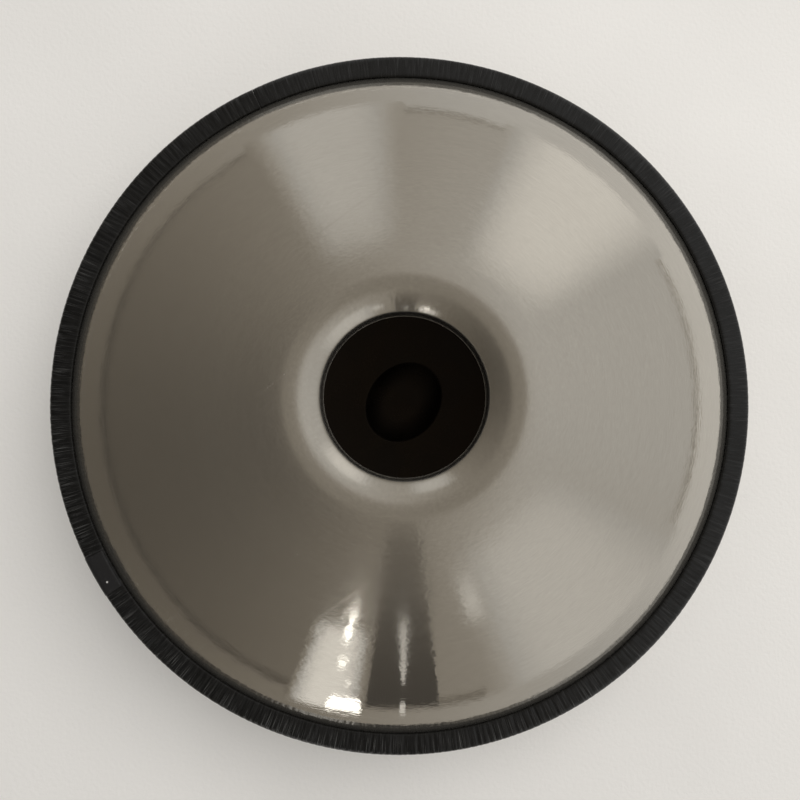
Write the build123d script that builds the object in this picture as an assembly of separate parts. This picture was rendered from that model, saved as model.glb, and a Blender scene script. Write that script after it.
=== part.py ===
from build123d import *
import os
from math import asin, cos, degrees, radians, sin, sqrt

# Handpan in millimetres, lying as a player stores it: sound port up, Ding down.
# +Z points out of the sound port. The origin is on the floor, under the centre of the body.

# Whole body
OVERALL_RADIUS = 280.0         # outside of the edge trim
SHEET = 1.2                    # steel sheet of both shells
BOND = 0.25                    # thickness of the adhesive between the flanges

# Section that both shells are drawn to, on their outside faces
CROWN_RADIUS = 390.0           # one round dome from the middle to the flange
FOOT_X = 262.0                 # distance from the axis where the dome meets the flange bend
FLANGE_BEND = 3.0              # outside radius of the bend into the flange
FLANGE_RADIUS = 276.0          # outer edge of the flange

# Sound port in the Gu shell
PORT_RADIUS = 59.0             # clear radius of the neck
PORT_LEAD = 130.0              # outside radius of the gentle bend from the crown to the roll
LEAD_END = 8.0                 # slope in degrees up to the port where the roll starts
PORT_ROLL = 30.0               # outside radius of the broad roll into the port
PORT_TURN = 48.0               # slope in degrees down into the port where the roll tightens
PORT_EDGE = 3.5                # outside radius of the tight edge over the neck
NECK_LENGTH = 18.0             # straight wall of the neck

# Ding, the oval dome in the middle of the other shell
DING_LONG = 39.5               # half length of the oval
DING_SHORT = 33.2              # half width of the oval
DING_RISE = 5.0                # height over the crown, before the top is worked flat
DING_FLAT = 0.9                # height taken off by the flat top
DING_TURN = 52.0               # direction of the oval's long axis, from +X, seen from the port side
DING_CLIP = 25.0               # depth of the dome's stock, all of it inside the shell

# Tone fields around the Ding, from the lowest note to the highest
FIELD_COUNT = 8
FIELD_CIRCLE = 165.0           # distance of the field centres from the body's axis
FIELD_LONG = (66.0, 54.0)      # half length, in and out from the Ding
FIELD_SHORT = (52.0, 42.0)     # half width, round the body
FIELD_SINK = (2.3, 1.5)        # how far the middle of a field lies under the crown
DIMPLE_SHARE = 0.36            # dimple's size as a share of its field
DIMPLE_DEPTH = 2.6             # depth of the dimple under its field
CUTTER_MARGIN = 1.3            # how far a field's cutter reaches past the field's outline

# Edge trim, a U channel pushed over both flanges
TRIM_DEPTH = 17.5              # from its lips to its outside
TRIM_HEIGHT = 10.0
TRIM_ROUND = 4.6               # outer corners
LIP_ROUND = 1.2                # edges of the lips
CHANNEL_HEIGHT = 4.2
FIN_PLACES = (2.6, 7.0)        # grip fins, measured from the lips
FIN_BASE = 2.0
FIN_TIP = 0.6
SEAM_ANGLE = 116.3             # where the two ends of the trim meet
SEAM_GAP = 0.15                # open angle between the ends, in degrees

# Steel clips inside the trim, each a U of flat strip
CLIPS = 327
CLIP_SHEET = 0.7
CLIP_BACK = 1.1                # rubber between the clips and the channel's floor and walls
CLIP_LIP = 1.3                 # rubber between the clips' tips and the lips
CLIP_ROUND = 2.0               # outside radius of the clips' bends
CLIP_PLAY = 0.05               # clearance of the clips in their pocket
CLIP_SHARE = 0.76              # clip width as a share of the pitch

# Smooth band wrapped over the trim
PATCH_FROM = 206.6
PATCH_TO = 213.6
PATCH_SHEET = 0.25

# Worked out from the sizes above. Heights in the shells' own frame start at the middle of the rim.
FLANGE_TOP = BOND / 2 + SHEET
FOOT_SLOPE = asin(FOOT_X / CROWN_RADIUS)
CROWN_Z = FLANGE_TOP + FLANGE_BEND * (1 - cos(FOOT_SLOPE)) - CROWN_RADIUS * cos(FOOT_SLOPE)
BEND_X = FOOT_X + FLANGE_BEND * sin(FOOT_SLOPE)
CROWN_TOP = CROWN_Z + CROWN_RADIUS
TURN_SLOPE = -radians(PORT_TURN)
EDGE_X = PORT_RADIUS + PORT_EDGE
ROLL_X = EDGE_X - (PORT_ROLL - PORT_EDGE) * sin(TURN_SLOPE)
ROLL_SLOPE = radians(LEAD_END)
LEAD_X = ROLL_X - (PORT_LEAD - PORT_ROLL) * sin(ROLL_SLOPE)
LEAD_SLOPE = asin(LEAD_X / (CROWN_RADIUS - PORT_LEAD))
LEAD_Z = CROWN_Z + (CROWN_RADIUS - PORT_LEAD) * cos(LEAD_SLOPE)
ROLL_Z = LEAD_Z + (PORT_LEAD - PORT_ROLL) * cos(ROLL_SLOPE)
EDGE_Z = ROLL_Z + (PORT_ROLL - PORT_EDGE) * cos(TURN_SLOPE)
RIM_HEIGHT = CROWN_TOP + DING_RISE - DING_FLAT
TRIM_LIP = OVERALL_RADIUS - TRIM_DEPTH
SEAM_END = SEAM_ANGLE + SEAM_GAP / 2
TRIM_ARC = 360.0 - SEAM_GAP


def arc(centre_x, centre_z, radius, start, end):
    """Arc in the section plane. Angles are the slope in radians; a negative radius bends the other way."""
    def point(angle):
        return (centre_x + radius * sin(angle), centre_z + radius * cos(angle))
    return ThreePointArc(point(start), point((start + end) / 2), point(end))


def wall_arcs(inset, inner_slope):
    """Flange bend and crown of a shell at a given depth under its outside, from the rim inwards."""
    bend = arc(BEND_X, FLANGE_TOP + FLANGE_BEND, -(FLANGE_BEND + inset), 0, FOOT_SLOPE)
    crown = arc(0, CROWN_Z, CROWN_RADIUS - inset, FOOT_SLOPE, inner_slope)
    return [bend, crown]


def port_arcs(inset):
    """Gentle bend, roll and tight edge of the sound port at a given depth under the outside, down to the neck."""
    lead = arc(LEAD_X, LEAD_Z, PORT_LEAD - inset, LEAD_SLOPE, ROLL_SLOPE)
    roll = arc(ROLL_X, ROLL_Z, PORT_ROLL - inset, ROLL_SLOPE, TURN_SLOPE)
    edge = arc(EDGE_X, EDGE_Z, PORT_EDGE - inset, TURN_SLOPE, -radians(90))
    return [lead, roll, edge]


def turned(edges, sweep=360.0):
    """Solid of revolution about the body's axis from a closed outline in the section plane."""
    return revolve(Plane.XZ * make_face(edges), Axis.Z, sweep)


def gu_shell():
    """Shell with the sound port, in its own frame with the port up."""
    outside = wall_arcs(0, LEAD_SLOPE) + port_arcs(0)
    inside = wall_arcs(SHEET, LEAD_SLOPE) + port_arcs(SHEET)
    neck_end = EDGE_Z - NECK_LENGTH
    neck = Polyline(outside[-1] @ 1, (PORT_RADIUS, neck_end), (PORT_RADIUS + SHEET, neck_end), inside[-1] @ 1)
    flange = Polyline(inside[0] @ 0, (FLANGE_RADIUS, BOND / 2), (FLANGE_RADIUS, FLANGE_TOP), outside[0] @ 0)
    return turned([*outside, neck, *inside, flange])


def dome_body(inset):
    """Everything under a plain shell's outside face, or under its inside face when inset is the sheet."""
    wall = wall_arcs(inset, 0)
    corners = [wall[-1] @ 1, (0, BOND / 2)]
    if inset == 0:
        corners += [(FLANGE_RADIUS, BOND / 2), (FLANGE_RADIUS, FLANGE_TOP)]
    return turned([*wall, Polyline(*corners, wall[0] @ 0)])


def spindle(long_radius, short_radius):
    """Lens turned about X: its middle curves with long_radius along X and with short_radius across it."""
    half = sqrt(long_radius ** 2 - (long_radius - short_radius) ** 2)
    outline = [ThreePointArc((-half, 0), (0, short_radius), (half, 0)), Line((half, 0), (-half, 0))]
    return revolve(Plane.XZ * make_face(outline), Axis.X)


def ding_dome(inset):
    """Oval dome in the middle of the Ding shell, with its top worked flat."""
    def radius(half, crown_drop):
        rise = DING_RISE + crown_drop
        return (half ** 2 + rise ** 2) / (2 * rise)
    long_radius = radius(DING_LONG, DING_LONG ** 2 / (2 * CROWN_RADIUS)) - inset
    short_outside = radius(DING_SHORT, DING_SHORT ** 2 / (2 * CROWN_RADIUS))
    dome = Pos(0, 0, CROWN_TOP + DING_RISE - short_outside) * spindle(long_radius, short_outside - inset)
    top = CROWN_TOP + DING_RISE - DING_FLAT - inset
    stock = Pos(0, 0, top - DING_CLIP / 2) * Cylinder(1.5 * DING_LONG, DING_CLIP)
    return Rot(0, 0, -DING_TURN) * (dome & stock)


def between(pair, note):
    """Value for one note, stepping evenly from the lowest to the highest."""
    low, high = pair
    return low + (high - low) * note / (FIELD_COUNT - 1)


def field_place(note):
    """Frame on the crown at one tone field: X in and out from the Ding, Z out of the shell."""
    steps = (note + 1) // 2
    side = 1 if note % 2 else -1
    turn = -90.0 + side * steps * 360.0 / FIELD_COUNT
    tilt = degrees(asin(FIELD_CIRCLE / CROWN_RADIUS))
    return Rot(0, 0, turn) * Pos(0, 0, CROWN_Z) * Rot(0, tilt, 0) * Pos(0, 0, CROWN_RADIUS)


def flatter(half, sink):
    """Radius of a curve that cuts the crown at plus and minus half and lies sink under it in the middle."""
    return 1 / (1 / CROWN_RADIUS - 2 * sink / half ** 2)


def field_cutters(note, inset):
    """What a tone field and its dimple take away from the shell's outside, or from its hollow."""
    half_x, half_y, sink = between(FIELD_LONG, note), between(FIELD_SHORT, note), between(FIELD_SINK, note)
    flat_x, flat_y = flatter(half_x, sink), flatter(half_y, sink)
    reach = CUTTER_MARGIN * half_x
    low = -sink - inset
    along = arc(0, -sink - flat_x, flat_x - inset, -asin(reach / flat_x), asin(reach / flat_x))
    lid = Polyline(along @ 1, (reach, FIELD_SINK[0] + sink), (-reach, FIELD_SINK[0] + sink), along @ 0)
    half_turn = degrees(asin(CUTTER_MARGIN * half_y / flat_y))
    hinge = Axis((0, 0, -sink - flat_y), (1, 0, 0))
    slab = revolve(Plane.XZ * make_face([along, lid]), hinge, 2 * half_turn).rotate(hinge, -half_turn)
    dimple_x = 1 / (2 * DIMPLE_DEPTH / (DIMPLE_SHARE * half_x) ** 2 - 1 / flat_x)
    dimple_y = 1 / (2 * DIMPLE_DEPTH / (DIMPLE_SHARE * half_y) ** 2 - 1 / flat_y)
    dimple = Pos(0, 0, -sink - DIMPLE_DEPTH + dimple_y) * spindle(dimple_x + inset, dimple_y + inset)
    return [field_place(note) * slab, field_place(note) * dimple]


def ding_shell():
    """Shell with the Ding and the tone fields, in its own frame with the Ding up."""
    def body(inset):
        solid = dome_body(inset) + ding_dome(inset)
        for note in range(FIELD_COUNT):
            for cutter in field_cutters(note, inset):
                solid -= cutter
        return solid
    return body(0) - body(SHEET)


def rim_bond():
    """Ring of adhesive between the two flanges."""
    ring = Cylinder(FLANGE_RADIUS, BOND) - Cylinder(BEND_X, BOND)
    return Pos(0, 0, RIM_HEIGHT) * ring


def trim_turned(section):
    """Ring with one open seam, from a section drawn with X from the body's axis and Y up."""
    ring = revolve(Plane.XZ * section, Axis.Z, TRIM_ARC)
    return Pos(0, 0, RIM_HEIGHT) * Rot(0, 0, SEAM_END) * ring


def outer_corners(shape, count):
    """The given number of a section's corners that lie furthest from the body's axis."""
    return shape.vertices().sort_by(Axis.X)[-count:]


def trim_block(grow):
    """Section over the outside of the trim, grown outwards by a small amount."""
    block = Pos(TRIM_LIP + TRIM_DEPTH / 2, 0) * Rectangle(TRIM_DEPTH + 2 * grow, TRIM_HEIGHT + 2 * grow)
    lips = block.vertices().sort_by(Axis.X)[:2]
    block = fillet(lips, LIP_ROUND + grow)
    return fillet(outer_corners(block, 2), TRIM_ROUND + grow)


def clip_section(play):
    """Section of one steel clip, or of the pocket for the clips when play is zero."""
    start = TRIM_LIP + CLIP_LIP + play
    end = FLANGE_RADIUS + CLIP_BACK + CLIP_SHEET - play
    half = CHANNEL_HEIGHT / 2 + CLIP_BACK + CLIP_SHEET - play
    thick = CLIP_SHEET - 2 * play
    outside = Pos((start + end) / 2, 0) * Rectangle(end - start, 2 * half)
    outside = fillet(outer_corners(outside, 2), CLIP_ROUND - play)
    inside = Pos((start + end) / 2 - thick, 0) * Rectangle(end - start, 2 * (half - thick))
    inside = fillet(outer_corners(inside, 2), CLIP_ROUND - CLIP_SHEET + play)
    return outside - inside


def edge_trim():
    """Rubber U channel with grip fins on the flanges and a pocket for the steel clips."""
    mouth = FLANGE_RADIUS - TRIM_LIP
    section = trim_block(0) - Pos(TRIM_LIP + mouth / 2, 0) * Rectangle(mouth, CHANNEL_HEIGHT)
    for place in FIN_PLACES:
        middle = TRIM_LIP + place
        for side in (1, -1):
            root, tip = side * CHANNEL_HEIGHT / 2, side * FLANGE_TOP
            fin = make_face(Polyline((middle - FIN_BASE / 2, root), (middle + FIN_BASE / 2, root),
                                     (middle + FIN_TIP / 2, tip), (middle - FIN_TIP / 2, tip), close=True))
            section += fin
    return trim_turned(section - clip_section(0))


def trim_clips():
    """Ring of separate steel clips, each a strip folded to a U, side by side in the trim's pocket."""
    width = 2 * FLANGE_RADIUS * sin(radians(CLIP_SHARE * TRIM_ARC / CLIPS) / 2)
    clip = extrude(Plane.XZ * clip_section(CLIP_PLAY), width / 2, both=True)
    pitch = TRIM_ARC / CLIPS
    turns = [SEAM_END + (index + 0.5) * pitch for index in range(CLIPS)]
    return Compound([Pos(0, 0, RIM_HEIGHT) * Rot(0, 0, turn) * clip for turn in turns])


def trim_patch():
    """Thin band wrapped over the outside of the trim, open towards the shells."""
    skin = trim_block(PATCH_SHEET) - trim_block(0)
    skin -= Pos(TRIM_LIP, 0) * Rectangle(2 * LIP_ROUND, TRIM_HEIGHT)
    band = revolve(Plane.XZ * skin, Axis.Z, PATCH_TO - PATCH_FROM)
    return Pos(0, 0, RIM_HEIGHT) * Rot(0, 0, PATCH_FROM) * band


def write_parts():
    """One STEP file for each piece, in the part's frame."""
    os.makedirs("parts", exist_ok=True)
    export_step(Pos(0, 0, RIM_HEIGHT) * gu_shell(), "parts/gu_shell.step")
    export_step(Pos(0, 0, RIM_HEIGHT) * Rot(180, 0, 0) * ding_shell(), "parts/ding_shell.step")
    export_step(rim_bond(), "parts/rim_bond.step")
    export_step(edge_trim(), "parts/edge_trim.step")
    export_step(trim_clips(), "parts/trim_clips.step", write_pcurves=False)
    export_step(trim_patch(), "parts/trim_patch.step")


write_parts()
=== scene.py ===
import math

import bmesh
import bpy
import numpy as np
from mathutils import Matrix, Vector


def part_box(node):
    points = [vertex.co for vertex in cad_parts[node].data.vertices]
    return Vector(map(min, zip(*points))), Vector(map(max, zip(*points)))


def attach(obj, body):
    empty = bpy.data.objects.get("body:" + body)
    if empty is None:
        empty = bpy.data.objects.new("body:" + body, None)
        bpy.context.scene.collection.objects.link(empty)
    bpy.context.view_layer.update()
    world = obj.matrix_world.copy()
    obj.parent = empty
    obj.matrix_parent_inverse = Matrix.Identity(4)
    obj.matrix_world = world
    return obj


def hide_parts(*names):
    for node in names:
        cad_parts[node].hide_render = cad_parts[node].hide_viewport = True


# A handpan lying port side up on a pale floor, seen from above. Metres and radians, in the part's frame.
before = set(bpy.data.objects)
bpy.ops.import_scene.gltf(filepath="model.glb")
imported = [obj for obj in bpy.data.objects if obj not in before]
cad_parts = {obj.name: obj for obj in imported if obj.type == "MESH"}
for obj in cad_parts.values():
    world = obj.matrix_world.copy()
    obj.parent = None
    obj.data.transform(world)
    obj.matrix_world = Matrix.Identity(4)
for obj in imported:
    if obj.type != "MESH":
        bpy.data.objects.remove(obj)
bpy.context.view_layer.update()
BODY = "root"

# Sizes that the frame gives
RIM_Z = (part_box("rim_bond")[0].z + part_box("rim_bond")[1].z) / 2
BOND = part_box("rim_bond")[1].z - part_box("rim_bond")[0].z
FLANGE_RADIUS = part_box("gu_shell")[1].x
TRIM_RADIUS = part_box("edge_trim")[1].x
TRIM_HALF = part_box("edge_trim")[1].z - RIM_Z
DING_TOP = RIM_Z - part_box("ding_shell")[0].z

# Section of the shells, which repeats the CAD's
SHEET = 0.0012
CROWN_RADIUS = 0.390
FOOT_X = 0.262
FLANGE_BEND = 0.003
PORT_RADIUS = 0.059
PORT_LEAD = 0.130
PORT_ROLL = 0.030
PORT_TURN = -math.radians(48)
PORT_EDGE = 0.0035
NECK_LENGTH = 0.018
NECK_BEAD = 0.0009
FLANGE_TOP = BOND / 2 + SHEET
FOOT_SLOPE = math.asin(FOOT_X / CROWN_RADIUS)
CROWN_Z = FLANGE_TOP + FLANGE_BEND * (1 - math.cos(FOOT_SLOPE)) - CROWN_RADIUS * math.cos(FOOT_SLOPE)
BEND_X = FOOT_X + FLANGE_BEND * math.sin(FOOT_SLOPE)
EDGE_X = PORT_RADIUS + PORT_EDGE
ROLL_X = EDGE_X - (PORT_ROLL - PORT_EDGE) * math.sin(PORT_TURN)
ROLL_SLOPE = math.radians(8)
LEAD_X = ROLL_X - (PORT_LEAD - PORT_ROLL) * math.sin(ROLL_SLOPE)
LEAD_SLOPE = math.asin(LEAD_X / (CROWN_RADIUS - PORT_LEAD))
LEAD_Z = CROWN_Z + (CROWN_RADIUS - PORT_LEAD) * math.cos(LEAD_SLOPE)
ROLL_Z = LEAD_Z + (PORT_LEAD - PORT_ROLL) * math.cos(ROLL_SLOPE)
EDGE_Z = ROLL_Z + (PORT_ROLL - PORT_EDGE) * math.cos(PORT_TURN)

# Ding and tone fields, which repeat the CAD's
DING_HALF = (0.0395, 0.0332)
DING_RISE = 0.005
DING_EDGE = 0.0002              # how softly its flat top rounds
DING_TURN = math.radians(52.0)
FIELD_COUNT = 8
FIELD_CIRCLE = 0.165
FIELD_LONG = (0.066, 0.054)
FIELD_SHORT = (0.052, 0.042)
FIELD_SINK = (0.0023, 0.0015)
DIMPLE_SHARE = 0.36
DIMPLE_DEPTH = 0.0026
CREASE = 0.10                  # how softly a hammered field's edge rounds, as a share of its oval
DING_CREASE = 0.02             # the same for the pressed Ding

# Edge trim, which repeats the CAD's outline
TRIM_DEPTH = 0.0175
TRIM_ROUND = 0.0046
LIP_ROUND = 0.0012
CHANNEL_HALF = 0.0021
FIN_PLACES = (0.0026, 0.0070)
FIN_BASE = 0.0020
FIN_TIP = 0.0006
SEAM_ANGLE = math.radians(116.3)
SEAM_GAP = math.radians(0.03)
RIBS = 327
RIB_SAMPLES = 7
RIB_DEPTH = (0.00022, 0.00055)
TRIM_LIP = TRIM_RADIUS - TRIM_DEPTH
PATCH_ANGLES = (math.radians(206.6), math.radians(213.6))
PATCH_SHEET = 0.00025
PATCH_COLUMNS = 48
# Place and size of a small pale dot painted on the band as a highlight
HIGHLIGHT_DOT_PLACE = (-0.2314, -0.1430, RIM_Z + TRIM_HALF)
HIGHLIGHT_DOT_SIZE = 0.0010

# Camera, fitted to the viewing angle
CAMERA_PLACE = (-0.0036, -0.0170, 0.7514)
CAMERA_TILT = (0.0457, -0.0340, 0)
CAMERA_SHIFT = (-0.0339, -0.0204)
CAMERA_LENS = 36.05

# Stage. Angles are in degrees round the body from +X; a level of 1 is a white card.
FLOOR_SIZE = 6.0
ROOM_SIDES = (-1.75, 2.0, -1.2, 2.3)     # left, right, near, far
ROOM_HEIGHT = 2.4
ROOM_COLOUR = (1.0, 0.975, 0.93)
DIM_COLOUR = (1.16, 0.98, 0.74)
WARM_LEVEL = 0.5
BRIGHT_SIDE = math.radians(15)           # the walls shine most on this side and least on the opposite one
WALL_LEVEL, WALL_SWING = 0.30, 0.22
CEILING_LEVEL = 0.22
FLOOR_SHARE = 1.3                        # of the wall's level on the same side
FLOOR_TOP = 0.06                         # height where the far floor's glow gives way to the walls
FLOOR_NEAR = 0.72              # distance from the axis where the far floor starts
SKIRTING = 0.06
SKIRTING_SHADE = 0.55
FAR_SIDES = 90
FAR_LIFT = 0.002
# Standing cards: level, middle direction, width, distance from the axis, low and high edge, foot's share of the width
SOFTBOXES = {
    "softbox_right": (0.85, 50, 40, 1.3, 0.06, 1.3, 1.0),
    "softbox_back": (0.60, 106, 32, 1.15, 0.06, 1.15, 1.0),
    "softbox_left": (1.0, 255, 15, 1.15, 0.0, 0.6, 1.0),
    "softbox_front": (0.65, 311, 50, 1.2, 0.06, 1.2, 1.0),
}
GLINTS = {
    "strip_low": (0.8, 269.9, 0.9, 0.60, 0.085, 0.125, 1.0),
    "strip_high": (0.66, 270.1, 2.4, 0.60, 0.19, 0.42, 0.3),
    "window_side": (0.72, 288.7, 4.5, 1.1, 0.62, 0.95, 1.0),
    "window_low": (3.2, 258.8, 5.2, 1.1, 0.02, 0.11, 1.3),
    "window_blob": (1.8, 258.7, 0.9, 1.1, 0.20, 0.225, 1.0),
    "window_spot": (2.4, 256.8, 1.8, 1.1, 0.315, 0.36, 1.0),
    "window_high": (4.2, 256.6, 1.5, 1.1, 0.49, 0.74, 0.6),
}
PERSON_HEIGHT = 1.5
PERSON = [(-0.092, -0.75, 0.10), (0.092, -0.75, 0.10),
          (0.055, -0.45, PERSON_HEIGHT), (-0.055, -0.45, PERSON_HEIGHT)]
PERSON_PALING = 1.5
PERSON_LEVELS = (0.03, 0.24)
WORLD_COLOUR = (1.0, 0.985, 0.96)
WORLD_BRIGHT_SIDE = (0.74, 0.52, 0.42)
WORLD_LEVELS = (0.08, 0.86)
LAMP_PLACE = (1.0, 0.9, 2.4)
LAMP_SIZE = 2.2
LAMP_POWER = 34.0
LAMP_COLOUR = (1.0, 0.98, 0.95)

# Surface detail
SLOW_WAVE, SLOW_LENGTHS = 0.00005, (0.08, 0.15)
QUICK_WAVE, QUICK_LENGTHS = 0.000005, (0.015, 0.025)
CREASE_WIDTH = 0.16            # of a rib's pitch
CREASE_SLANT = 0.30            # of a rib's pitch, from the middle of the section to a lip
CREASE_JITTER = 0.16
END_PINCH = 0.0003
CREASE_CALM = 0.30             # depth on the calmest side of the ring, as a share of the strongest
CREASE_OUTSIDE = 0.3           # depth on the outermost face, as a share of the deepest
CREASE_STRONGEST = math.radians(235)
# Side where the creases run deepest, and where the painted highlights on the rubber are strongest
CREASE_HIGHLIGHT_SIDE = (math.cos(CREASE_STRONGEST), math.sin(CREASE_STRONGEST), 0)
PATCH_WAVE, PATCH_WAVE_LENGTHS = math.radians(0.12), (0.006, 0.012)
HAIR_TURN, HAIR_SIZE = math.radians(38), (0.10, 0.0022, 0.10)    # hair scratches from wiping

# Mesh fineness: points round the body and along its section
AROUND = 480
BEND_COUNT = 8
GU_COUNT, GU_HOLLOW_COUNT = 72, 26
LEAD_COUNT, ROLL_COUNT, EDGE_COUNT = 14, 24, 9
DING_COUNTS, DING_HOLLOW_COUNTS = (84, 26, 16), (46, 20, 10)
DING_BAND = (0.047, 0.029)     # distances from the axis between which rows lie close, for the Ding's outline
OVAL_FADE = 0.090              # distance from the axis where rows are round again
POLE_SLOPE = 0.001


def arc(centre, radius, start, end, count):
    """Points of an arc in the section plane. Angles are slopes; a negative radius bends the other way."""
    angles = np.linspace(start, end, count)
    return np.stack([centre[0] + radius * np.sin(angles), centre[1] + radius * np.cos(angles)], 1)


def line(start, end, count):
    """Evenly spaced points from start up to, but without, end."""
    steps = np.linspace(0, 1, count, endpoint=False)[:, None]
    return np.array(start) * (1 - steps) + np.array(end) * steps


def wall(inset, bend_count, slopes):
    """Flange bend and crown at a depth under the outside, from the rim inwards, for given crown slopes."""
    bend = arc((BEND_X, FLANGE_TOP + FLANGE_BEND), -(FLANGE_BEND + inset), 0, FOOT_SLOPE, bend_count)
    radius = CROWN_RADIUS - inset
    crown = np.stack([radius * np.sin(slopes), CROWN_Z + radius * np.cos(slopes)], 1)
    return np.concatenate([bend[:-1], crown])


def port_wall(inset, lead_count, roll_count, edge_count):
    """Gentle bend, roll and tight edge of the port at a depth under the outside, from crown to neck."""
    lead = arc((LEAD_X, LEAD_Z), PORT_LEAD - inset, LEAD_SLOPE, ROLL_SLOPE, lead_count)
    roll = arc((ROLL_X, ROLL_Z), PORT_ROLL - inset, ROLL_SLOPE, PORT_TURN, roll_count)
    edge = arc((EDGE_X, EDGE_Z), PORT_EDGE - inset, PORT_TURN, -math.pi / 2, edge_count)
    return np.concatenate([lead[:-1], roll[:-1], edge])


def ding_slopes(counts):
    """Slopes of the Ding shell's rows from its foot to its pole, close together along the Ding's outline."""
    start, end = (math.asin(distance / CROWN_RADIUS) for distance in DING_BAND)
    return np.concatenate([np.linspace(FOOT_SLOPE, start, counts[0], endpoint=False),
                           np.linspace(start, end, counts[1], endpoint=False),
                           np.linspace(end, POLE_SLOPE, counts[2])])


def flange_edge():
    """Cut edge of a flange and its outside, up to the bend."""
    edge = line((FLANGE_RADIUS, BOND / 2), (FLANGE_RADIUS, FLANGE_TOP), 2)
    return np.concatenate([edge, line((FLANGE_RADIUS, FLANGE_TOP), (BEND_X, FLANGE_TOP), 4)])


def waves(points, seed, lengths, count=24):
    """Smooth random field between about -1 and 1, from plane waves with lengths between two limits."""
    random = np.random.RandomState(seed)
    total = np.zeros(len(points))
    for _ in range(count):
        direction = random.normal(size=3)
        direction /= np.linalg.norm(direction)
        number = 2 * math.pi / random.uniform(*lengths)
        total += np.cos(points @ direction * number + random.uniform(0, 2 * math.pi))
    return total / math.sqrt(2 * count)


def eased(values, low, high):
    """Smooth step from 0 at low to 1 at high."""
    share = np.clip((values - low) / (high - low), 0, 1)
    return share * share * (3 - 2 * share)


def soft_over(values, width):
    """The part of the values over zero, with a rounded foot."""
    return (values + np.sqrt(values ** 2 + width ** 2)) / 2


def new_object(name, points, faces, materials, face_slots):
    """Smooth shaded mesh object with its faces turned outwards."""
    mesh = bpy.data.meshes.new(name)
    mesh.from_pydata(points.tolist(), [], faces)
    for material in materials:
        mesh.materials.append(material)
    mesh.polygons.foreach_set("material_index", np.asarray(face_slots, np.int32))
    mesh.polygons.foreach_set("use_smooth", np.ones(len(faces), bool))
    form = bmesh.new()
    form.from_mesh(mesh)
    bmesh.ops.recalc_face_normals(form, faces=form.faces)
    form.to_mesh(mesh)
    form.free()
    piece = bpy.data.objects.new(name, mesh)
    bpy.context.scene.collection.objects.link(piece)
    return piece


def grid_faces(rows, columns, first=0, ring=True):
    """Quads over a grid of points stored row by row. A ring's last column joins its first."""
    faces = []
    for i in range(rows - 1):
        a = first + i * columns
        for j in range(columns if ring else columns - 1):
            k = (j + 1) % columns
            faces.append((a + j, a + k, a + columns + k, a + columns + j))
    return faces


def turned(section, up):
    """Points of a section turned round the axis, row by row. Up is 1 for the port side, -1 for the Ding."""
    angles = np.linspace(0, 2 * math.pi, AROUND, endpoint=False)
    x = section[:, :1] * np.cos(angles)
    y = section[:, :1] * np.sin(angles)
    z = np.repeat(RIM_Z + up * section[:, 1:], AROUND, 1)
    return np.stack([x, y, z], 2).reshape(-1, 3)


def crown_centre(up):
    """Centre of the sphere that a shell's crown is part of."""
    return np.array([0, 0, RIM_Z + up * CROWN_Z])


def pushed(points, up, depths):
    """Points moved towards the crown's centre by their depths."""
    away = points - crown_centre(up)
    away /= np.linalg.norm(away, axis=1)[:, None]
    return points - away * depths[:, None]


def uneven(points, seed):
    """Depths of the slow waves that pressing and welding leave in the sheet, none at the flange."""
    inside = 1 - eased(np.linalg.norm(points[:, :2], axis=1), FOOT_X - 0.02, FOOT_X)
    slow = SLOW_WAVE * (1 + waves(points, seed, SLOW_LENGTHS))
    quick = QUICK_WAVE * (1 + waves(points, seed + 1, QUICK_LENGTHS))
    return inside * np.maximum(slow + quick, 0)


def between(pair, note):
    """Value for one note, stepping evenly from the lowest to the highest."""
    return pair[0] + (pair[1] - pair[0]) * note / (FIELD_COUNT - 1)


def field_depths(points, note):
    """How far one tone field and its dimple lie under the Ding shell's crown."""
    side = 1 if note % 2 else -1
    azimuth = math.pi / 2 - side * ((note + 1) // 2) * 2 * math.pi / FIELD_COUNT
    tilt = math.asin(FIELD_CIRCLE / CROWN_RADIUS)
    outwards = np.array([math.cos(azimuth), math.sin(azimuth), 0])
    down = np.array([0, 0, -1.0])
    ray = points - crown_centre(-1)
    ray /= np.linalg.norm(ray, axis=1)[:, None]
    u = CROWN_RADIUS * ray @ (outwards * math.cos(tilt) - down * math.sin(tilt)) / between(FIELD_LONG, note)
    v = CROWN_RADIUS * ray @ np.cross(down, outwards) / between(FIELD_SHORT, note)
    sink = between(FIELD_SINK, note)
    field = soft_over(sink * (1 - u ** 2 - v ** 2), CREASE * sink)
    dimple = soft_over(DIMPLE_DEPTH * (1 - (u ** 2 + v ** 2) / DIMPLE_SHARE ** 2), CREASE * DIMPLE_DEPTH)
    return field + dimple


def ding_rise(points):
    """Height of the Ding over the crown, with its top worked flat."""
    c, s = math.cos(DING_TURN), math.sin(DING_TURN)
    u = (points[:, 0] * c + points[:, 1] * s) / DING_HALF[0]
    v = (points[:, 1] * c - points[:, 0] * s) / DING_HALF[1]
    dome = soft_over(DING_RISE * (1 - u ** 2 - v ** 2), DING_CREASE * DING_RISE)
    crown_drop = (points[:, 0] ** 2 + points[:, 1] ** 2) / (2 * CROWN_RADIUS)
    flat = DING_TOP - CROWN_Z - CROWN_RADIUS + crown_drop
    return dome - soft_over(dome - flat, DING_EDGE)


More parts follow.
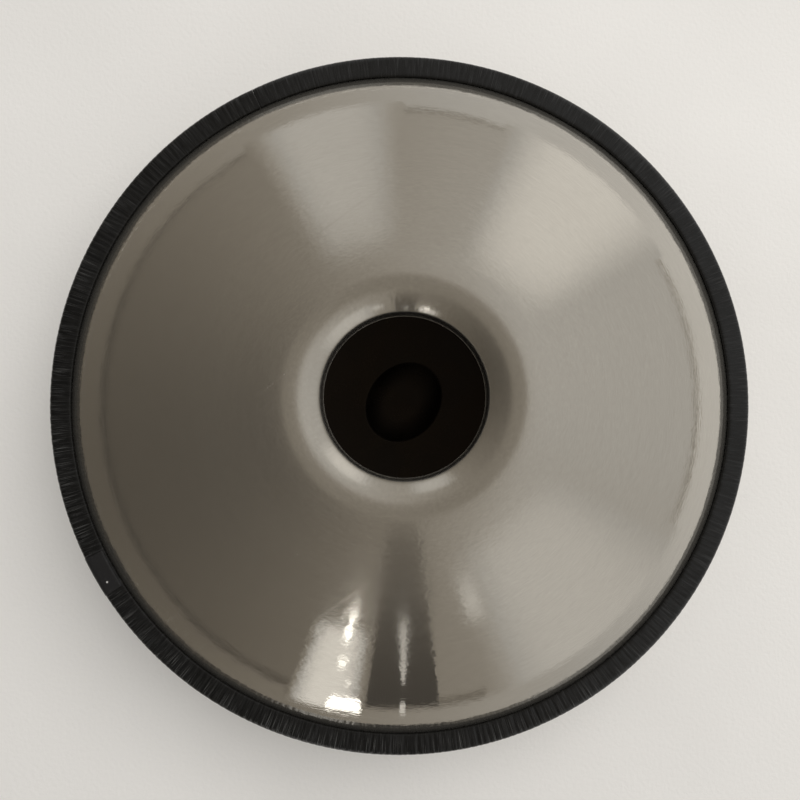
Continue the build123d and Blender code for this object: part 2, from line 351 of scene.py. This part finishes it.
def follow_oval(points, inset):
    """Rows near the Ding shell's pole drawn out to ovals along the Ding's outline, still on the crown."""
    c, s = math.cos(DING_TURN), math.sin(DING_TURN)
    mean = sum(DING_HALF) / 2
    share = 1 - eased(np.hypot(points[:, 0], points[:, 1]), DING_BAND[0], OVAL_FADE)
    along = (points[:, 0] * c + points[:, 1] * s) * (1 + share * (DING_HALF[0] / mean - 1))
    across = (points[:, 1] * c - points[:, 0] * s) * (1 + share * (DING_HALF[1] / mean - 1))
    height = CROWN_Z + np.sqrt(np.maximum((CROWN_RADIUS - inset) ** 2 - along ** 2 - across ** 2, 0))
    x = np.where(share > 0, along * c - across * s, points[:, 0])
    y = np.where(share > 0, along * s + across * c, points[:, 1])
    z = np.where(share > 0, RIM_Z - height, points[:, 2])
    return np.stack([x, y, z], 1)


def make_gu_shell(materials):
    """Shell with the sound port. Its neck ends in a small bead."""
    bead = (PORT_RADIUS + SHEET - NECK_BEAD, EDGE_Z - NECK_LENGTH + NECK_BEAD)
    port = port_wall(0, LEAD_COUNT, ROLL_COUNT, EDGE_COUNT)
    neck = line(port[-1], (PORT_RADIUS, bead[1] + NECK_BEAD), 8)
    neck_end = arc(bead, NECK_BEAD, -math.radians(20), -math.radians(270), 11)
    crown = wall(0, BEND_COUNT, np.linspace(FOOT_SLOPE, LEAD_SLOPE, GU_COUNT))
    hollow = wall(SHEET, BEND_COUNT, np.linspace(FOOT_SLOPE, LEAD_SLOPE, GU_HOLLOW_COUNT))
    back = port_wall(SHEET, LEAD_COUNT // 2, ROLL_COUNT // 2, EDGE_COUNT)
    outside = [flange_edge(), crown[:-1], port[:-1], neck, neck_end]
    outer_rows = sum(len(part) for part in outside)
    section = np.concatenate([*outside, back[:0:-1], hollow[::-1]])
    section = np.concatenate([section, section[:1]])
    points = turned(section, 1)[:-AROUND]
    faces = [tuple(corner % len(points) for corner in face) for face in grid_faces(len(section), AROUND)]
    slots = [0 if index < (outer_rows - 1) * AROUND else 1 for index in range(len(faces))]
    shell = new_object("gu_shell_formed", pushed(points, 1, uneven(points, 3)), faces, materials, slots)
    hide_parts("gu_shell")
    return shell


def make_ding_shell(materials):
    """Shell with the Ding and the tone fields, closed at its pole inside and outside."""
    outside = np.concatenate([flange_edge(), wall(0, BEND_COUNT, ding_slopes(DING_COUNTS))])
    inside = wall(SHEET, BEND_COUNT, ding_slopes(DING_HOLLOW_COUNTS))
    points = np.concatenate([follow_oval(turned(outside, -1), 0), follow_oval(turned(inside, -1), SHEET)])
    rise = ding_rise(points)
    depths = uneven(points, 5) * (1 - eased(rise, 0, DING_RISE / 2)) - rise
    for note in range(FIELD_COUNT):
        depths += field_depths(points, note)
    hollow = len(outside) * AROUND
    faces = grid_faces(len(outside), AROUND) + [list(range(hollow - AROUND, hollow))]
    slots = [0] * len(faces)
    faces += grid_faces(len(inside), AROUND, hollow) + [list(range(len(points) - AROUND, len(points)))]
    slots += [1] * (len(faces) - len(slots))
    for j in range(AROUND):
        k = (j + 1) % AROUND
        faces.append((j, k, hollow + k, hollow + j))
        slots.append(0)
    shell = new_object("ding_shell_formed", pushed(points, -1, depths), faces, materials, slots)
    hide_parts("ding_shell")
    return shell


def trim_outline(grow, whole_lips):
    """Outside of the trim's section, from the upper lip round to the lower one, with x from the lips."""
    half = TRIM_HALF + grow
    top = line((LIP_ROUND, half), (TRIM_DEPTH - TRIM_ROUND, half), 6)
    corner = (TRIM_DEPTH - TRIM_ROUND, TRIM_HALF - TRIM_ROUND)
    upper = [top, arc(corner, TRIM_ROUND + grow, 0, math.pi / 2, 7)]
    if whole_lips:
        lip = arc((LIP_ROUND, TRIM_HALF - LIP_ROUND), LIP_ROUND, -math.pi / 2, 0, 4)
        upper = [[(0, CHANNEL_HALF)], lip[:-1], *upper]
    upper = np.concatenate(upper)
    return np.concatenate([upper, upper[::-1] * (1, -1)])


def channel_outline():
    """Inside of the trim's section with its grip fins, from the lower lip to the upper one."""
    lower = []
    for place in FIN_PLACES:
        for half, height in ((-FIN_BASE / 2, CHANNEL_HALF), (-FIN_TIP / 2, FLANGE_TOP),
                             (FIN_TIP / 2, FLANGE_TOP), (FIN_BASE / 2, CHANNEL_HALF)):
            lower.append((place + half, -height))
    lower = np.array([*lower, (FLANGE_RADIUS - TRIM_LIP, -CHANNEL_HALF)])
    return np.concatenate([lower, lower[::-1] * (1, -1)])


def section_normals(section):
    """Outward directions in the section plane at each point of an open outline."""
    along = np.gradient(section, axis=0)
    along /= np.linalg.norm(along, axis=1)[:, None]
    return np.stack([-along[:, 1], along[:, 0]], 1)


def swept(section, angles):
    """Points of a section that may differ from column to column, at those angles round the trim."""
    x = (TRIM_LIP + section[..., 0]) * np.cos(angles)
    y = (TRIM_LIP + section[..., 0]) * np.sin(angles)
    return np.stack([x, y, RIM_Z + section[..., 1] + 0 * x], 2).reshape(-1, 3)


def crease_depths(places, angles):
    """Depth of the cross creases that bending leaves in the rubber, for each section point and column."""
    random = np.random.RandomState(11)
    pitch = (2 * math.pi - SEAM_GAP) / RIBS
    middles = SEAM_ANGLE + SEAM_GAP / 2 + pitch * (np.arange(RIBS) + 0.5)
    middles += pitch * CREASE_JITTER * random.normal(size=RIBS)
    slants = pitch * CREASE_SLANT * random.normal(size=RIBS)
    strong = CREASE_CALM + (1 - CREASE_CALM) * (1 + np.cos(middles - CREASE_STRONGEST)) / 2
    depths = random.uniform(*RIB_DEPTH, RIBS) * strong
    widths = pitch * CREASE_WIDTH * random.uniform(0.7, 1.6, RIBS)
    share = np.linspace(-1, 1, len(places))[:, None]
    total = np.zeros((len(places), len(angles)))
    own = np.minimum(np.arange(len(angles)) // RIB_SAMPLES, RIBS - 1)
    for step in (-1, 0, 1):
        rib = np.clip(own + step, 0, RIBS - 1)
        near = np.exp(-((angles - middles[rib] - slants[rib] * share) / widths[rib]) ** 2)
        total = np.maximum(total, near * depths[rib])
    outside = CREASE_OUTSIDE + (1 - CREASE_OUTSIDE) * eased(np.abs(share), 0, 0.35)
    calm = eased(1 - np.abs(share), 0.05, 0.35) * outside
    ends = np.exp(-((angles - angles[0]) / pitch) ** 2) + np.exp(-((angles - angles[-1]) / pitch) ** 2)
    return total * calm + END_PINCH * ends * calm


def make_edge_trim(material):
    """Rubber channel with its cross creases, open at one seam."""
    outline, channel = trim_outline(0, True), channel_outline()
    count = RIBS * RIB_SAMPLES + 1
    angles = np.linspace(SEAM_ANGLE + SEAM_GAP / 2, SEAM_ANGLE - SEAM_GAP / 2 + 2 * math.pi, count)
    depths = crease_depths(outline, angles)
    creased = outline[:, None] - section_normals(outline)[:, None] * depths[..., None]
    outer = swept(creased, angles)
    inner = swept(channel[:, None], angles[::RIB_SAMPLES])
    first, rows, ribs = len(outer), len(outline), RIBS + 1
    faces = grid_faces(rows, count, ring=False) + grid_faces(len(channel), ribs, first, ring=False)
    for rib in range(RIBS):
        fine = list(range(rib * RIB_SAMPLES, (rib + 1) * RIB_SAMPLES + 1))
        last_row, last_channel = (rows - 1) * count, first + (len(channel) - 1) * ribs
        faces.append([last_row + j for j in fine] + [first + rib + 1, first + rib])
        faces.append(fine + [last_channel + rib + 1, last_channel + rib])
    for column, rib in ((0, 0), (count - 1, RIBS)):
        outer_edge = [row * count + column for row in range(rows)]
        faces.append(outer_edge + [first + row * ribs + rib for row in range(len(channel))])
    trim = new_object("edge_trim_ribbed", np.concatenate([outer, inner]), faces, [material], [0] * len(faces))
    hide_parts("edge_trim")
    return trim


def make_patch(material):
    """Thin smooth band over the trim, with ends that aren't quite straight."""
    outside, inside = trim_outline(PATCH_SHEET, False), trim_outline(PATCH_SHEET / 10, False)
    section = np.concatenate([outside, inside[::-1], outside[:1]])
    places = np.stack([section[:, 0], section[:, 1], 0 * section[:, 0]], 1)
    columns = np.linspace(0, 1, PATCH_COLUMNS)
    start = PATCH_ANGLES[0] + PATCH_WAVE * (1 + waves(places, 21, PATCH_WAVE_LENGTHS))[:, None]
    end = PATCH_ANGLES[1] - PATCH_WAVE * (1 + waves(places, 22, PATCH_WAVE_LENGTHS))[:, None]
    points = swept(section[:, None], start * (1 - columns) + end * columns)[:-PATCH_COLUMNS]
    faces = [tuple(corner % len(points) for corner in face)
             for face in grid_faces(len(section), PATCH_COLUMNS, ring=False)]
    rows = len(section) - 1
    faces.append([row * PATCH_COLUMNS for row in range(rows)])
    faces.append([row * PATCH_COLUMNS + PATCH_COLUMNS - 1 for row in range(rows)])
    patch = new_object("trim_patch_band", points, faces, [material], [0] * len(faces))
    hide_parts("trim_patch")
    return patch


class Shading:
    """One node material, with short ways to add and join its nodes."""

    def __init__(self, name):
        self.material = bpy.data.materials.new(name)
        self.material.use_nodes = True
        self.tree = self.material.node_tree
        self.shader = self.tree.nodes["Principled BSDF"]
        self.place = self.add("ShaderNodeTexCoord").outputs["Object"]

    def add(self, kind, inputs=None, **settings):
        node = self.tree.nodes.new(kind)
        for name, value in settings.items():
            setattr(node, name, value)
        for name, value in (inputs or {}).items():
            self.put(value, node.inputs[name])
        return node

    def put(self, value, socket):
        if isinstance(value, bpy.types.NodeSocket):
            self.tree.links.new(value, socket)
        else:
            socket.default_value = value

    def set(self, **values):
        """Values or joined sockets on the material's own shader, named as its sockets are."""
        for name, value in values.items():
            self.put(value, self.shader.inputs[name.replace("_", " ")])

    def math(self, operation, a, b=0.0):
        return self.add("ShaderNodeMath", {0: a, 1: b}, operation=operation).outputs[0]

    def vector(self, operation, a, b):
        return self.add("ShaderNodeVectorMath", {0: a, 1: b}, operation=operation).outputs[0]

    def noise(self, place, scale, detail=2.0, distortion=0.0):
        inputs = {"Vector": place, "Scale": scale, "Detail": detail, "Distortion": distortion}
        return self.add("ShaderNodeTexNoise", inputs).outputs["Fac"]

    def span(self, value, low, high, out_low, out_high):
        """Value mapped from one range to another, held at its ends."""
        inputs = {"Value": value, "From Min": low, "From Max": high, "To Min": out_low, "To Max": out_high}
        return self.add("ShaderNodeMapRange", inputs).outputs["Result"]

    def mix(self, share, a, b, blend="MIX"):
        node = self.add("ShaderNodeMix", data_type="RGBA", blend_type=blend)
        for index, value in ((0, share), (6, a), (7, b)):
            self.put(value, node.inputs[index])
        return node.outputs[2]

    def bump(self, height, distance, strength=1.0):
        inputs = {"Height": height, "Distance": distance, "Strength": strength}
        return self.add("ShaderNodeBump", inputs).outputs["Normal"]


def turning_place(shading, round_cells, across_cells):
    """Coordinates for marks that run round the body: cells per radian along the turn, per metre across it."""
    flat = shading.vector("MULTIPLY", shading.place, (1, 1, 0))
    parts = shading.add("ShaderNodeSeparateXYZ", {0: shading.place})
    radius = shading.add("ShaderNodeVectorMath", {0: flat}, operation="LENGTH").outputs["Value"]
    height = shading.math("ABSOLUTE", shading.math("SUBTRACT", parts.outputs["Z"], RIM_Z))
    across = shading.math("MULTIPLY", shading.math("SUBTRACT", radius, height), across_cells)
    along = shading.vector("MULTIPLY", shading.vector("NORMALIZE", flat, (0, 0, 0)), (round_cells,) * 3)
    lift = shading.add("ShaderNodeCombineXYZ", {"Z": across}).outputs[0]
    return shading.vector("ADD", along, lift), radius


def brushed_steel():
    """Steel brushed on a lathe, polished towards the rim: fine marks, ripples, streaks and smudges."""
    shading = Shading("brushed_steel")
    fine_place, radius = turning_place(shading, 26, 900)
    streak_place, _ = turning_place(shading, 2.2, 200)
    fine = shading.noise(fine_place, 1.0, 3.0)
    streaks = shading.noise(streak_place, 1.0, 2.0)
    mark_place, _ = turning_place(shading, 34, 420)
    marks = shading.noise(mark_place, 1.0, 2.0)
    ripples = shading.noise(shading.place, 110.0, 2.0, 0.3)
    smudges = shading.noise(shading.place, 9.0, 3.0, 0.6)
    hair_inputs = {"Vector": shading.place, "Rotation": (0, 0, HAIR_TURN), "Scale": HAIR_SIZE}
    hair_place = shading.add("ShaderNodeMapping", hair_inputs, vector_type="TEXTURE").outputs[0]
    hairs = shading.span(shading.noise(hair_place, 1.0, 1.0), 0.64, 0.72, 0, 1)
    hairs = shading.math("MULTIPLY", hairs, shading.span(smudges, 0.48, 0.60, 0, 1))
    polish = shading.span(radius, 0.135, 0.200, 0.19, 0.055)
    rough = shading.math("ADD", polish, shading.span(fine, 0.3, 0.7, -0.015, 0.015))
    rough = shading.math("ADD", rough, shading.span(streaks, 0.3, 0.7, -0.012, 0.012))
    rough = shading.math("ADD", rough, shading.span(smudges, 0.35, 0.65, -0.012, 0.012))
    rough = shading.math("ADD", rough, shading.math("MULTIPLY", hairs, 0.06))
    tone = shading.mix(shading.span(fine, 0.3, 0.7, 0, 1), (0.575, 0.545, 0.49, 1), (0.62, 0.59, 0.53, 1))
    tone = shading.mix(shading.span(streaks, 0.35, 0.7, 0, 0.10), tone, (0.68, 0.65, 0.59, 1))
    tone = shading.mix(shading.span(smudges, 0.5, 0.72, 0, 0.12), tone, (0.47, 0.44, 0.39, 1))
    height = shading.math("MULTIPLY", fine, 0.000008)
    height = shading.math("ADD", height, shading.math("MULTIPLY", marks, 0.00004))
    height = shading.math("ADD", height, shading.math("MULTIPLY", ripples, 0.00007))
    tangent = shading.add("ShaderNodeTangent", direction_type="RADIAL", axis="Z").outputs[0]
    normal = shading.bump(height, 1.0)
    shading.set(Base_Color=tone, Metallic=0.93, Roughness=rough, Anisotropic=0.7, Anisotropic_Rotation=0.25,
                Tangent=tangent, Normal=normal)
    shading.set(Coat_Weight=0.35, Coat_Roughness=0.05, Coat_IOR=1.45, Coat_Normal=normal)
    return shading.material


def inner_steel():
    """Bare inside of the shells: dull, with heat tint and uneven scale. Its colour is partly painted shade: far
    darker than steel, it stands in for the shade in the closed hollow.
    """
    shading = Shading("inner_steel")
    scale = shading.noise(shading.place, 26.0, 5.0, 0.4)
    tint = shading.noise(shading.place, 5.0, 2.0, 1.0)
    grain = shading.noise(shading.place, 900.0, 2.0)
    tinted = shading.span(tint, 0.35, 0.65, 0, 1)
    # Painted shade: both tones are far darker than steel, standing in for the shade inside the closed hollow; the
    # change between them is heat tint.
    tone = shading.mix(tinted, (0.017, 0.0125, 0.0085, 1), (0.0135, 0.0115, 0.010, 1))
    tone = shading.mix(shading.span(scale, 0.45, 0.7, 0, 0.5), tone, (0.030, 0.022, 0.015, 1))
    rough = shading.span(scale, 0.3, 0.7, 0.20, 0.32)
    shading.set(Base_Color=tone, Metallic=0.9, Roughness=rough, Normal=shading.bump(grain, 0.00001))
    return shading.material


def trim_rubber():
    """Black extruded rubber with fine cross scuffs, a dull bloom on its ridges and thin pale lines painted on as
    highlights of its creases.
    """
    shading = Shading("trim_rubber")
    parts = shading.add("ShaderNodeSeparateXYZ", {0: shading.place})
    azimuth = shading.math("ARCTAN2", parts.outputs["Y"], parts.outputs["X"])
    flat = shading.vector("MULTIPLY", shading.place, (1, 1, 0))
    radius = shading.add("ShaderNodeVectorMath", {0: flat}, operation="LENGTH").outputs["Value"]
    cross_inputs = {"X": shading.math("MULTIPLY", azimuth, 420), "Y": shading.math("MULTIPLY", radius, 60),
                    "Z": shading.math("MULTIPLY", parts.outputs["Z"], 60)}
    cross = shading.noise(shading.add("ShaderNodeCombineXYZ", cross_inputs).outputs[0], 1.0, 3.0)
    # Thin pale radial lines: painted highlights of the crease ridges, strongest on the side where the creases run
    # deepest and towards the outer edge.
    line_inputs = {"X": shading.math("MULTIPLY", azimuth, 900), "Y": shading.math("MULTIPLY", radius, 40),
                   "Z": shading.math("MULTIPLY", parts.outputs["Z"], 40)}
    lines = shading.noise(shading.add("ShaderNodeCombineXYZ", line_inputs).outputs[0], 1.0, 1.0)
    side = shading.add("ShaderNodeVectorMath", {0: shading.place, 1: CREASE_HIGHLIGHT_SIDE}, operation="DOT_PRODUCT")
    highlight_share = shading.math("MULTIPLY", shading.span(side.outputs["Value"], -TRIM_RADIUS / 3, TRIM_RADIUS, 0.12, 1),
                        shading.span(radius, TRIM_LIP + 0.001, TRIM_RADIUS - 0.003, 0.1, 1))
    lines = shading.math("MULTIPLY", shading.span(lines, 0.64, 0.72, 0, 1), highlight_share)
    grain = shading.noise(shading.place, 1600.0, 2.0)
    bloom = shading.noise(shading.place, 14.0, 3.0, 0.5)
    bloomed = shading.span(bloom, 0.35, 0.7, 0, 1)
    tone = shading.mix(bloomed, (0.004, 0.0042, 0.0044, 1), (0.0075, 0.0078, 0.0082, 1))
    tone = shading.mix(shading.span(cross, 0.56, 0.74, 0, 0.5), tone, (0.045, 0.045, 0.046, 1))
    tone = shading.mix(lines, tone, (0.17, 0.17, 0.165, 1))
    rough = shading.math("ADD", shading.span(cross, 0.3, 0.7, 0.22, 0.36),
                         shading.span(grain, 0.3, 0.7, -0.04, 0.04))
    height = shading.math("ADD", shading.math("MULTIPLY", cross, 0.8), shading.math("MULTIPLY", grain, 0.2))
    shading.set(Base_Color=tone, Roughness=rough, Normal=shading.bump(height, 0.00004), IOR=1.5,
                Coat_Weight=0.12, Coat_Roughness=0.10, Specular_IOR_Level=0.36)
    return shading.material


def patch_tape():
    """Smooth black vinyl band, a little glossier than the rubber, with dust and one painted highlight, a small pale
    dot.
    """
    shading = Shading("patch_tape")
    dust = shading.noise(shading.place, 700.0, 2.0)
    ripple = shading.noise(shading.place, 60.0, 2.0)
    # Painted highlight: a small pale dot on the band
    away = shading.vector("SUBTRACT", shading.place, HIGHLIGHT_DOT_PLACE)
    away = shading.add("ShaderNodeVectorMath", {0: away}, operation="LENGTH").outputs["Value"]
    highlight_dot = shading.span(away, HIGHLIGHT_DOT_SIZE * 0.5, HIGHLIGHT_DOT_SIZE, 1, 0)
    dusty = shading.span(dust, 0.62, 0.75, 0, 0.4)
    tone = shading.mix(dusty, (0.012, 0.012, 0.013, 1), (0.06, 0.06, 0.06, 1))
    tone = shading.mix(highlight_dot, tone, (0.55, 0.54, 0.52, 1))
    rough = shading.span(ripple, 0.3, 0.7, 0.38, 0.50)
    shading.set(Base_Color=tone, Roughness=rough, Normal=shading.bump(ripple, 0.00008), IOR=1.5)
    return shading.material


def clip_steel():
    """Zinc plated strip of the clips inside the trim."""
    shading = Shading("clip_steel")
    spangle = shading.add("ShaderNodeTexVoronoi", {"Vector": shading.place, "Scale": 600.0}).outputs["Distance"]
    stain = shading.noise(shading.place, 40.0, 3.0)
    tone = shading.mix(shading.span(spangle, 0.0, 0.6, 0, 1), (0.52, 0.54, 0.56, 1), (0.63, 0.64, 0.65, 1))
    tone = shading.mix(shading.span(stain, 0.5, 0.8, 0, 0.4), tone, (0.38, 0.36, 0.33, 1))
    shading.set(Base_Color=tone, Metallic=1.0, Roughness=shading.span(spangle, 0.0, 0.6, 0.30, 0.42))
    return shading.material


def bond_adhesive():
    """Cured grey epoxy between the flanges, with small bubbles."""
    shading = Shading("bond_adhesive")
    bubbles = shading.add("ShaderNodeTexVoronoi", {"Vector": shading.place, "Scale": 900.0}).outputs["Distance"]
    cloud = shading.noise(shading.place, 50.0, 3.0)
    tone = shading.mix(shading.span(cloud, 0.3, 0.7, 0, 1), (0.16, 0.155, 0.14, 1), (0.24, 0.235, 0.22, 1))
    shading.set(Base_Color=tone, Roughness=shading.span(cloud, 0.3, 0.7, 0.35, 0.5),
                Normal=shading.bump(bubbles, 0.00004))
    return shading.material


def floor_material():
    """Plain pale board, very slightly uneven in tone."""
    shading = Shading("floor_board")
    cloud = shading.noise(shading.place, 3.0, 3.0)
    grain = shading.noise(shading.place, 260.0, 2.0)
    tone = shading.mix(shading.span(cloud, 0.3, 0.7, 0, 1), (0.80, 0.785, 0.76, 1), (0.86, 0.845, 0.82, 1))
    shading.set(Base_Color=tone, Roughness=0.9, Specular_IOR_Level=0.1, Normal=shading.bump(grain, 0.0003))
    return shading.material


def repaint(node, material):
    """Puts a material on a CAD node that keeps its own mesh."""
    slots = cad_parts[node].data.materials
    slots.clear()
    slots.append(material)


def card(name, corners, material):
    """Stage surface that only reflections see."""
    mesh = bpy.data.meshes.new(name)
    mesh.from_pydata(corners, [], [tuple(range(k, k + 4)) for k in range(0, len(corners), 4)])
    mesh.materials.append(material)
    piece = bpy.data.objects.new(name, mesh)
    bpy.context.scene.collection.objects.link(piece)
    piece.visible_camera = False
    piece.visible_diffuse = False
    piece.visible_shadow = False
    return piece


def light_material(name, colour, strength):
    """Plain glow of a card."""
    material = bpy.data.materials.new(name)
    material.use_nodes = True
    material.cycles.emission_sampling = "NONE"
    tree = material.node_tree
    tree.nodes.clear()
    glow = tree.nodes.new("ShaderNodeEmission")
    glow.inputs["Color"].default_value = (*colour, 1)
    glow.inputs["Strength"].default_value = strength
    output = tree.nodes.new("ShaderNodeOutputMaterial")
    tree.links.new(glow.outputs[0], output.inputs["Surface"])
    return material, tree, glow


class Glow:
    """Glow of a large stage card, stronger on the bright side, with short ways to join its nodes."""

    def __init__(self, name):
        self.material, self.tree, self.glow = light_material(name, ROOM_COLOUR, 1.0)
        self.place = self.tree.nodes.new("ShaderNodeTexCoord").outputs["Object"]
        self.parts = self.tree.nodes.new("ShaderNodeSeparateXYZ")
        self.tree.links.new(self.place, self.parts.inputs[0])
        angle = self.math("ARCTAN2", self.parts.outputs["Y"], self.parts.outputs["X"])
        self.angle = angle
        swing = self.math("COSINE", self.math("SUBTRACT", angle, BRIGHT_SIDE))
        self.side = self.math("ADD", self.math("MULTIPLY", swing, WALL_SWING), WALL_LEVEL)

    def math(self, operation, a, b=0.0):
        node = self.tree.nodes.new("ShaderNodeMath")
        node.operation = operation
        for index, value in enumerate((a, b)):
            if isinstance(value, bpy.types.NodeSocket):
                self.tree.links.new(value, node.inputs[index])
            else:
                node.inputs[index].default_value = value
        return node.outputs[0]

    def lift(self, low, high):
        """Share from 0 to 1 by how steeply a point lies over the origin, as the sine of its elevation."""
        length = self.tree.nodes.new("ShaderNodeVectorMath")
        length.operation = "LENGTH"
        self.tree.links.new(self.place, length.inputs[0])
        sine = self.math("DIVIDE", self.parts.outputs["Z"], length.outputs["Value"])
        scaled = self.tree.nodes.new("ShaderNodeMapRange")
        scaled.interpolation_type = "SMOOTHSTEP"
        scaled.inputs["From Min"].default_value = low
        scaled.inputs["From Max"].default_value = high
        self.tree.links.new(sine, scaled.inputs["Value"])
        return scaled.outputs["Result"]

    def near(self, middle, width):
        """Share from 1 in one direction down to 0 at the sides of a width round it, both in degrees."""
        facing = self.math("COSINE", self.math("SUBTRACT", self.angle, math.radians(middle)))
        scaled = self.tree.nodes.new("ShaderNodeMapRange")
        scaled.interpolation_type = "SMOOTHSTEP"
        scaled.inputs["From Min"].default_value = math.cos(math.radians(width / 2))
        scaled.inputs["From Max"].default_value = 1.0
        self.tree.links.new(facing, scaled.inputs["Value"])
        return scaled.outputs["Result"]

    def shine(self, level):
        """Puts the level on the card's glow, warmer where it is dim."""
        hue = self.tree.nodes.new("ShaderNodeMix")
        hue.data_type = "RGBA"
        self.tree.links.new(self.math("MINIMUM", self.math("DIVIDE", level, WARM_LEVEL), 1.0), hue.inputs[0])
        hue.inputs[6].default_value = (*DIM_COLOUR, 1)
        hue.inputs[7].default_value = (*ROOM_COLOUR, 1)
        self.tree.links.new(hue.outputs[2], self.glow.inputs["Color"])
        self.tree.links.new(level, self.glow.inputs["Strength"])


def room_material():
    """Walls with a bright side and a dim one, under a dull ceiling, over a darker skirting and a far floor."""
    room = Glow("room_glow")
    over = room.math("SUBTRACT", room.parts.outputs["Z"], FLOOR_TOP)
    wall_share = room.math("GREATER_THAN", over, 0.0)
    skirting = room.math("MULTIPLY", room.math("LESS_THAN", over, SKIRTING), 1 - SKIRTING_SHADE)
    ceiling_share = room.lift(0.88, 0.99)
    walls = room.math("MULTIPLY", room.side, room.math("SUBTRACT", 1.0, ceiling_share))
    walls = room.math("ADD", walls, room.math("MULTIPLY", CEILING_LEVEL, ceiling_share))
    wall_level = room.math("MULTIPLY", walls, room.math("SUBTRACT", 1.0, skirting))
    floor_level = room.math("MULTIPLY", room.side, FLOOR_SHARE)
    floor_level = room.math("MULTIPLY", floor_level, room.math("SUBTRACT", 1.0, wall_share))
    room.shine(room.math("ADD", room.math("MULTIPLY", wall_level, wall_share), floor_level))
    return room.material


def far_floor_material():
    """Floor further out, as the polished rim of the shell mirrors it."""
    floor = Glow("far_floor_glow")
    floor.shine(floor.math("MULTIPLY", floor.side, FLOOR_SHARE))
    return floor.material


def softbox_material(name, level, middle, width):
    """Glow that fades from the middle of a softbox into the wall's own level at its sides."""
    box = Glow(name)
    share = box.near(middle, width)
    walls = box.math("MULTIPLY", box.side, box.math("SUBTRACT", 1.0, share))
    box.shine(box.math("ADD", walls, box.math("MULTIPLY", level, share)))
    return box.material


def person_material():
    """Dark clothes near the floor, paler towards the top."""
    person = Glow("person_glow")
    low, high = PERSON_LEVELS
    height = person.math("DIVIDE", person.parts.outputs["Z"], PERSON_HEIGHT)
    rise = person.math("MULTIPLY", person.math("POWER", height, PERSON_PALING), high - low)
    person.shine(person.math("ADD", rise, low))
    return person.material


def upright(middle, width, distance, low, high, foot):
    """Corners of a standing card."""
    corners = []
    for side, height, share in ((-1, low, foot), (1, low, foot), (1, high, 1.0), (-1, high, 1.0)):
        turn = math.radians(middle + side * width * share / 2)
        corners.append((distance * math.cos(turn), distance * math.sin(turn), height))
    return corners


def make_room():
    """Walls and ceiling round the stage."""
    left, right, near, far = ROOM_SIDES
    low, high = 0.0, ROOM_HEIGHT
    corners = []
    outline = [(left, near), (right, near), (right, far), (left, far)]
    for index, (x, y) in enumerate(outline):
        next_x, next_y = outline[(index + 1) % 4]
        corners += [(x, y, low), (next_x, next_y, low), (next_x, next_y, high), (x, y, high)]
    corners += [(x, y, high) for x, y in outline]
    card("room", corners, room_material())
    ring = []
    for index in range(FAR_SIDES):
        for distance, step in ((FLOOR_NEAR, 0), (FLOOR_NEAR, 1), (FLOOR_SIZE, 1), (FLOOR_SIZE, 0)):
            turn = 2 * math.pi * (index + step) / FAR_SIDES
            ring.append((distance * math.cos(turn), distance * math.sin(turn), FAR_LIFT))
    card("far_floor", ring, far_floor_material())
    for name, (level, middle, width, *shape) in SOFTBOXES.items():
        card(name, upright(middle, width, *shape), softbox_material(name, level, middle, width))
    for name, (level, middle, width, *shape) in GLINTS.items():
        card(name, upright(middle, width, *shape), light_material(name, ROOM_COLOUR, level)[0])
    card("person", PERSON, person_material())


def make_floor():
    """Plain pale floor under the whole stage."""
    size = FLOOR_SIZE
    mesh = bpy.data.meshes.new("floor")
    corners = [(-size, -size, 0), (size, -size, 0), (size, size, 0), (-size, size, 0)]
    mesh.from_pydata(corners, [], [(0, 1, 2, 3)])
    mesh.materials.append(floor_material())
    floor = bpy.data.objects.new("floor", mesh)
    bpy.context.scene.collection.objects.link(floor)


def make_lights():
    """Even light from all round, and a broad soft lamp overhead that reflections don't see."""
    world = bpy.data.worlds.new("studio")
    world.use_nodes = True
    background = world.node_tree.nodes["Background"]
    background.inputs["Color"].default_value = (*WORLD_COLOUR, 1)
    place = world.node_tree.nodes.new("ShaderNodeTexCoord").outputs["Generated"]
    facing = world.node_tree.nodes.new("ShaderNodeVectorMath")
    facing.operation = "DOT_PRODUCT"
    facing.inputs[1].default_value = WORLD_BRIGHT_SIDE
    level = world.node_tree.nodes.new("ShaderNodeMapRange")
    level.inputs["From Min"].default_value = -1.0
    level.inputs["To Min"].default_value, level.inputs["To Max"].default_value = WORLD_LEVELS
    world.node_tree.links.new(place, facing.inputs[0])
    world.node_tree.links.new(facing.outputs["Value"], level.inputs["Value"])
    world.node_tree.links.new(level.outputs["Result"], background.inputs["Strength"])
    world.cycles_visibility.glossy = False
    bpy.context.scene.world = world
    lamp = bpy.data.lights.new("overhead", "AREA")
    lamp.size = LAMP_SIZE
    lamp.energy = LAMP_POWER
    lamp.color = LAMP_COLOUR
    holder = bpy.data.objects.new("overhead", lamp)
    holder.location = LAMP_PLACE
    holder.rotation_euler = (-Vector(LAMP_PLACE)).to_track_quat("-Z", "Y").to_euler()
    holder.visible_glossy = False
    holder.visible_camera = False
    bpy.context.scene.collection.objects.link(holder)


def make_camera():
    """Camera held by hand over the body, a little off its axis."""
    camera = bpy.data.cameras.new("camera")
    camera.lens = CAMERA_LENS
    camera.sensor_width = 36.0
    camera.shift_x, camera.shift_y = CAMERA_SHIFT
    camera.clip_start = 0.01
    holder = bpy.data.objects.new("camera", camera)
    holder.location = CAMERA_PLACE
    holder.rotation_euler = CAMERA_TILT
    bpy.context.scene.collection.objects.link(holder)
    bpy.context.scene.camera = holder


make_camera()
steel, bare = brushed_steel(), inner_steel()
pieces = [make_gu_shell([steel, bare]), make_ding_shell([steel, bare]),
          make_edge_trim(trim_rubber()), make_patch(patch_tape())]
for piece in pieces:
    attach(piece, BODY)
repaint("rim_bond", bond_adhesive())
repaint("trim_clips", clip_steel())
make_floor()
make_room()
make_lights()
bpy.context.scene.view_settings.view_transform = "Standard"
